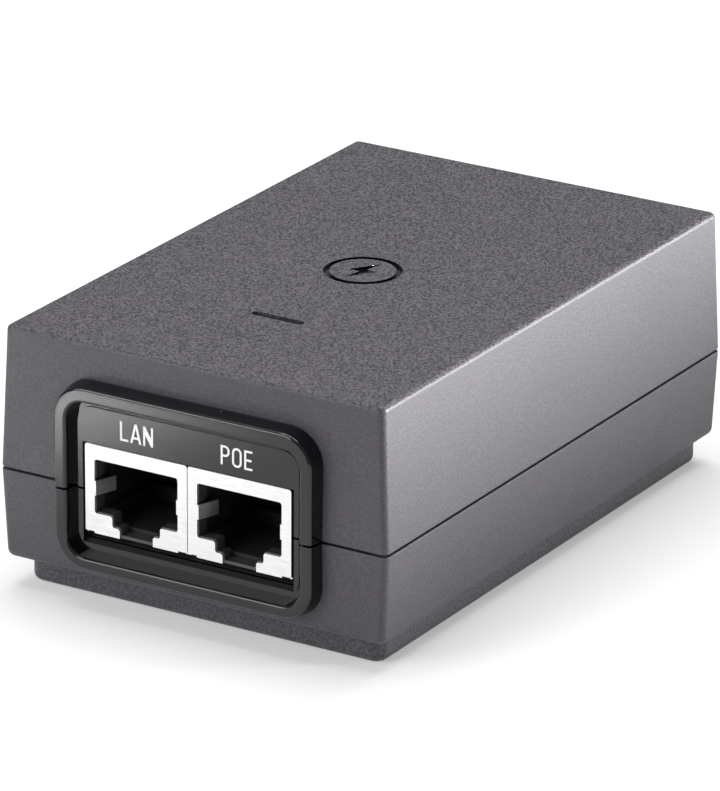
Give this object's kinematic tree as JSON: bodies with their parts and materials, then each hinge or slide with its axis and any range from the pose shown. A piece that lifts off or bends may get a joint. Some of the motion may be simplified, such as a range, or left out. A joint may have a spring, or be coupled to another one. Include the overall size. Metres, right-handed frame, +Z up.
{
  "type": "poe injector",
  "caption": "Power-over-Ethernet injector: leaning two-shell plastic case, shielded network sockets in a raised front frame, mains inlet behind, slide-off wall bracket below.",
  "frame": {"origin": "bottom centre of the whole object, on the underside of the wall bracket", "axes": "+Z up, -Y out of the front with the network sockets, +Y out of the rear with the mains inlet, +X to the right seen from the front"},
  "size_m": [0.0554, 0.0852, 0.0341],
  "materials": {
    "case_plastic": "fine spark-eroded texture, glossy round the ports",
    "bracket_plastic": "coarse matt texture",
    "screw_steel": "zinc plated",
    "jack_shield": "bright tin plate",
    "black_nylon": "moulded, low gloss",
    "contact_gold": "gold plated",
    "inlet_pin": "nickel plated",
    "circuit_board": "solder mask",
    "insulation": "translucent film",
    "light_pipe": "smoked, polished",
    "led": "clear",
    "chip_black": "moulded epoxy",
    "heatsink": "extruded",
    "can_aluminium": "sleeved can",
    "ferrite": "ground ferrite",
    "copper": "enamelled copper wire",
    "varistor_blue": "dipped epoxy",
    "film_box": "moulded box"
  },
  "bodies": {
    "case": {"board_screws": "screw_steel", "bottom_case": "case_plastic", "bridge_rectifier": "chip_black", "bulk_capacitor": "can_aluminium", "case_screws": "screw_steel", "choke_core": "ferrite", "choke_windings": "copper", "fuse": "chip_black", "heatsink_screws": "screw_steel", "insulation_sheet": "insulation", "jack_contacts_lan": "contact_gold", "jack_contacts_poe": "contact_gold", "jack_housing_lan": "black_nylon", "jack_housing_poe": "black_nylon", "jack_shield_lan": "jack_shield", "jack_shield_poe": "jack_shield", "light_pipe": "light_pipe", "line_transformer": "chip_black", "main_board": "circuit_board", "mains_inlet_body": "black_nylon", "mains_inlet_pins": "inlet_pin", "optocoupler": "chip_black", "output_capacitors": "can_aluminium", "output_diode": "chip_black", "output_inductor_core": "ferrite", "output_inductor_winding": "copper", "power_controller": "chip_black", "primary_heatsink": "heatsink", "secondary_heatsink": "heatsink", "status_led": "led", "surge_protectors": "chip_black", "switching_transistor": "chip_black", "top_cover": "case_plastic", "transformer_bobbin": "black_nylon", "transformer_core": "ferrite", "transformer_winding": "copper", "varistor": "varistor_blue", "x_capacitor": "film_box", "y_capacitor": "varistor_blue"},
    "bracket": {"wall_bracket": "bracket_plastic"}
  },
  "joints": [
    {"name": "bracket_slide", "type": "slide", "parent": "case", "child": "bracket", "axis": [0, -1, 0], "range_m": [0, 0.008]}
  ]
}
